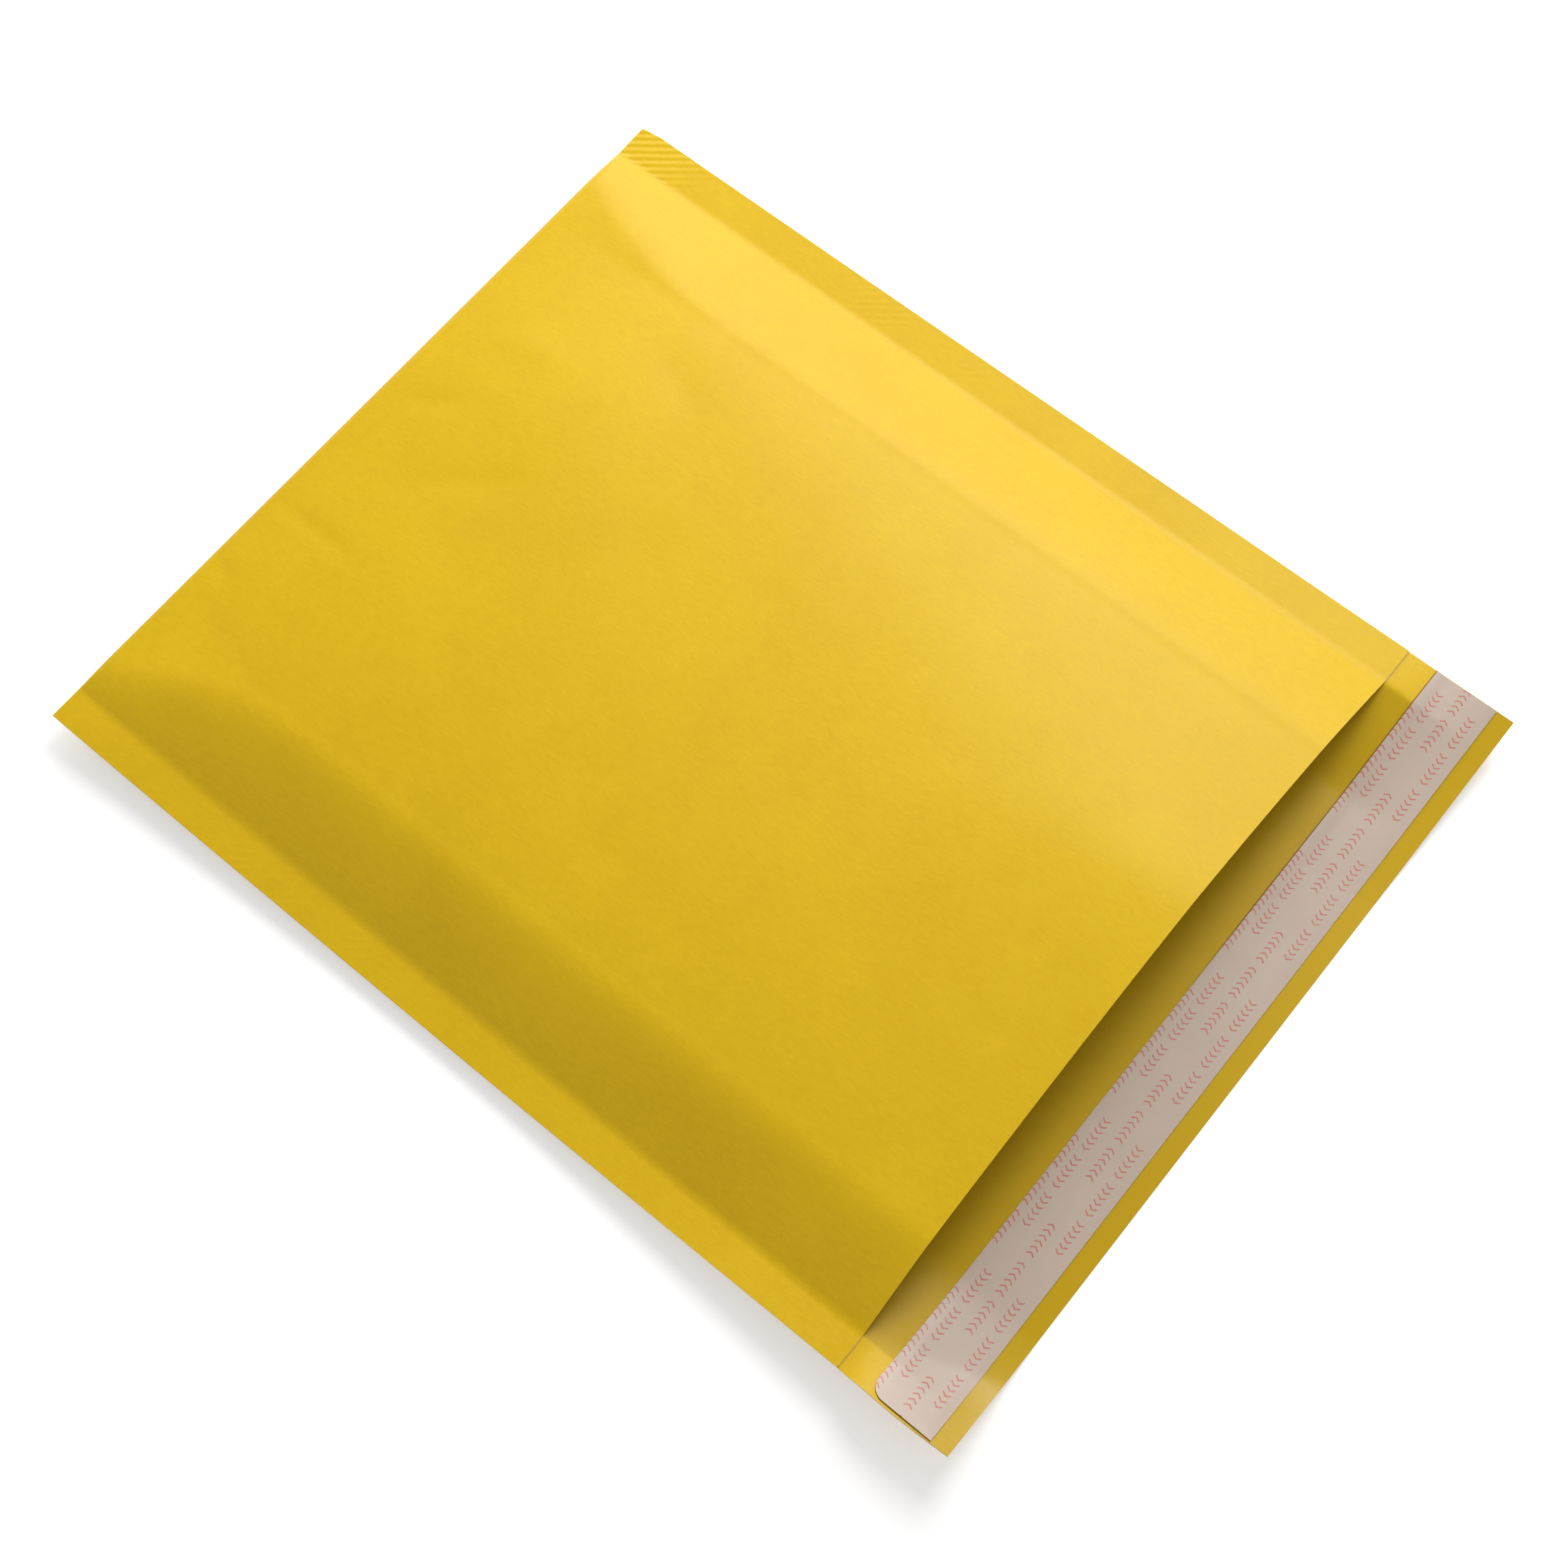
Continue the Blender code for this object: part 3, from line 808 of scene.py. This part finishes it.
def film_frame(x, row):
    """A point on the film's outer side, and the film's directions there, across, along and up."""
    def film_point(x, row):
        thickness = lining_thickness(x, row)
        return point_inside(x, row, PAPER_THICKNESS + CLEARANCE + thickness - FILM_THICKNESS)

    reach = 0.001
    point = film_point(x, row)
    sideways = (film_point(x + reach, row) - film_point(x - reach, row)).normalized()
    nearer = Row(row.turn, row.distance - reach)
    further = Row(row.turn, row.distance + reach)
    lengthways = (film_point(x, nearer) - film_point(x, further)).normalized()
    outwards = sideways.cross(lengthways) * row.turn
    return point, sideways, lengthways, outwards.normalized()


def bubble_lining():
    """One sheet of bubble film folded with the paper, smooth inside and with its bubbles outside."""
    left = LEFT_SEAM + LINING_SIDE_CLEARANCE
    right = RIGHT_SEAM - LINING_SIDE_CLEARANCE
    end = BODY_LENGTH - LINING_MOUTH_SETBACK
    xs = spaced(left, right, LINING_STEPS)
    distances = spaced(FOLD_END, end, LINING_STEPS)[1:]
    front = [Row(1, distance) for distance in distances]
    back = [Row(-1, distance) for distance in distances]
    rows = front[::-1] + fold_rows(FOLD_STEPS) + back

    def place(column, row):
        x = xs[column]
        depth = PAPER_THICKNESS + CLEARANCE + lining_thickness(x, rows[row]) - FILM_THICKNESS
        return point_inside(x, rows[row], depth)

    made = placed_grid("bubble_lining_film", len(xs), len(rows), place)
    thicken(made, FILM_THICKNESS)

    pattern = bubble()
    bubbles = []
    row_pitch = BUBBLE_PITCH * math.sqrt(3) / 2
    lines = int((end - FOLD_END - 2 * BUBBLE_RADIUS) / row_pitch) + 1
    for turn in (1, -1):
        for line in range(lines):
            distance = end - BUBBLE_RADIUS - BUBBLE_EDGE_GAP - line * row_pitch
            start = left + BUBBLE_RADIUS + BUBBLE_EDGE_GAP + (line % 2) * BUBBLE_PITCH / 2
            for number in range(int((right - BUBBLE_RADIUS - start) / BUBBLE_PITCH) + 1):
                x = start + number * BUBBLE_PITCH
                row = Row(turn, distance)
                edges = (x - BUBBLE_RADIUS, x, x + BUBBLE_RADIUS)
                height = min(lining_thickness(edge, row) for edge in edges) - FILM_THICKNESS
                if height > LEAST_BUBBLE:
                    bubbles.append(standing_bubble(pattern, x, row, height))
    bpy.data.objects.remove(pattern)
    joined(made, bubbles)
    smoothed(made, 50)
    return made


def standing_bubble(pattern, x, row, height):
    """A copy of the bubble where it stands on the film."""
    copied = pattern.copy()
    copied.data = pattern.data.copy()
    bpy.context.scene.collection.objects.link(copied)
    point, sideways, lengthways, outwards = film_frame(x, row)
    for vertex in copied.data.vertices:
        near = vertex.co.x * BUBBLE_RADIUS
        far = vertex.co.y * BUBBLE_RADIUS
        up = vertex.co.z * height
        vertex.co = point + sideways * near + lengthways * far * row.turn + outwards * up
    return copied


def strip_point(x, distance, height):
    """A point this high above the underside of the flap, with the flap's own unevenness."""
    on_flap = flap_height(x, distance) + flap_rise(x, distance)
    return Vector((x, CLOSED_END - distance, on_flap + height * steepness(x, Row(-1, distance))))


def strip_columns(start, end, steps):
    """Places across a strip, with one at each seam, where the flap under it bends."""
    return sorted({*spaced(start, end, steps), LEFT_SEAM, RIGHT_SEAM})


def adhesive_strip():
    """The tacky strip under the liner."""
    reach = WIDTH / 2 - ADHESIVE_END_MARGIN
    xs = strip_columns(-reach, reach, STRIP_STEPS)
    start = LINER_START + (LINER_WIDTH - ADHESIVE_WIDTH) / 2
    rows = ADHESIVE_ROWS

    def place(column, row):
        distance = mix(start + ADHESIVE_WIDTH, start, row / rows)
        return strip_point(xs[column], distance, ADHESIVE_HEIGHT + ADHESIVE_THICKNESS)

    made = placed_grid("adhesive_strip_glue", len(xs), rows + 1, place)
    thicken(made, ADHESIVE_THICKNESS)
    smoothed(made, 40)
    return made


def liner_height(x, distance):
    """Height of the liner's underside above the underside of the flap."""
    to_edge = min(distance - LINER_START, LINER_END - distance, x + WIDTH / 2 - LINER_END_MARGIN)
    height = mix(LINER_EDGE_HEIGHT, LINER_HEIGHT, smooth_step(to_edge / LINER_EDGE_DROP))
    lifted = smooth_step((x - LINER_LIFT_START) / LINER_LIFT_EASE)
    lifted *= smooth_step(1 - (distance - LINER_START) / LINER_LIFT_REACH)
    return height + LINER_LIFT * lifted


def release_liner():
    """The strip that covers the adhesive, pressed down at its edges, with a rounded inner corner."""
    first = -WIDTH / 2 + LINER_END_MARGIN
    corner = LINER_CORNER_RADIUS
    rounding = [first + corner * (1 - math.cos(a)) for a in spaced(0, math.pi / 2, CORNER_STEPS)]
    xs = rounding + strip_columns(rounding[-1], WIDTH / 2 - LINER_END_MARGIN, STRIP_STEPS)[1:]
    rows = LINER_ROWS

    def place(column, row):
        x = xs[column]
        from_end = min(x - first, corner)
        bite = corner - math.sqrt(corner**2 - (corner - from_end) ** 2)
        distance = mix(LINER_END, LINER_START + bite, row / rows)
        return strip_point(x, distance, liner_height(x, distance) + LINER_THICKNESS)

    made = placed_grid("release_liner_paper", len(xs), rows + 1, place)
    thicken(made, LINER_THICKNESS)
    smoothed(made, 40)
    return made


def build():
    finished(kraft_envelope(), "kraft_envelope", kraft_paper())
    finished(bubble_lining(), "bubble_lining", bubble_film())
    finished(adhesive_strip(), "adhesive_strip", hot_melt_adhesive())
    finished(release_liner(), "release_liner", release_paper())


# Studio

# A soft lamp: its power in watts, and the way to it from the middle of the floor
Lamp = namedtuple("Lamp", "name energy azimuth elevation")

KEY_LAMP = Lamp("key_light", 3.7, 10, 45)
LOW_LAMP = Lamp("low_light", 2.0, 38, 25)
LAMP_SIZE = 0.45
LAMP_DISTANCE = 0.8
FLOOR_GLOW = 0.42
AMBIENT = 0.43


def add_lamp(lamp_plan):
    data = bpy.data.lights.new(lamp_plan.name, "AREA")
    data.shape = "DISK"
    data.size = LAMP_SIZE
    data.energy = lamp_plan.energy
    lamp = bpy.data.objects.new(lamp_plan.name, data)
    azimuth = math.radians(lamp_plan.azimuth)
    elevation = math.radians(lamp_plan.elevation)
    level = math.cos(elevation)
    aim = Vector((level * math.cos(azimuth), level * math.sin(azimuth), math.sin(elevation)))
    lamp.location = aim * LAMP_DISTANCE
    lamp.rotation_euler = aim.to_track_quat("Z", "Y").to_euler()
    bpy.context.scene.collection.objects.link(lamp)


def seen_directly(finish):
    """1 for a ray that shows the background, straight from the camera or in a gloss, or else 0."""
    rays = finish.node("ShaderNodeLightPath")
    named = {value.socket.name: value for value in rays}
    seen = named["Is Camera Ray"] + named["Is Glossy Ray"] + named["Is Transmission Ray"]
    return finish.maths("MINIMUM", seen, 1.0)


def add_world():
    world = bpy.data.worlds.new("studio")
    world.use_nodes = True
    bpy.context.scene.world = world
    finish = Finish("studio", world.node_tree)
    strength = AMBIENT + (1 - AMBIENT) * seen_directly(finish)
    background = world.node_tree.nodes["Background"]
    finish.feed(background.inputs["Color"], (1.0, 1.0, 1.0))
    finish.feed(background.inputs["Strength"], strength)


def add_floor():
    deselect_all()
    bpy.ops.mesh.primitive_plane_add(size=8)
    floor = bpy.context.object
    floor.name = "floor"
    finish = Finish("floor")
    output = finish.tree.nodes["Material Output"]
    matt = finish.node("ShaderNodeBsdfDiffuse", sockets={"Color": (0.86, 0.86, 0.86)})[0]
    glow = finish.node("ShaderNodeEmission", sockets={"Strength": FLOOR_GLOW * seen_directly(finish)})[0]
    both = finish.node("ShaderNodeAddShader", sockets={0: matt, 1: glow})[0]
    finish.feed(output.inputs["Surface"], both)
    floor.data.materials.append(finish.material)


build()
add_lamp(KEY_LAMP)
add_lamp(LOW_LAMP)
add_world()
add_floor()
bpy.context.scene.view_settings.view_transform = "Standard"
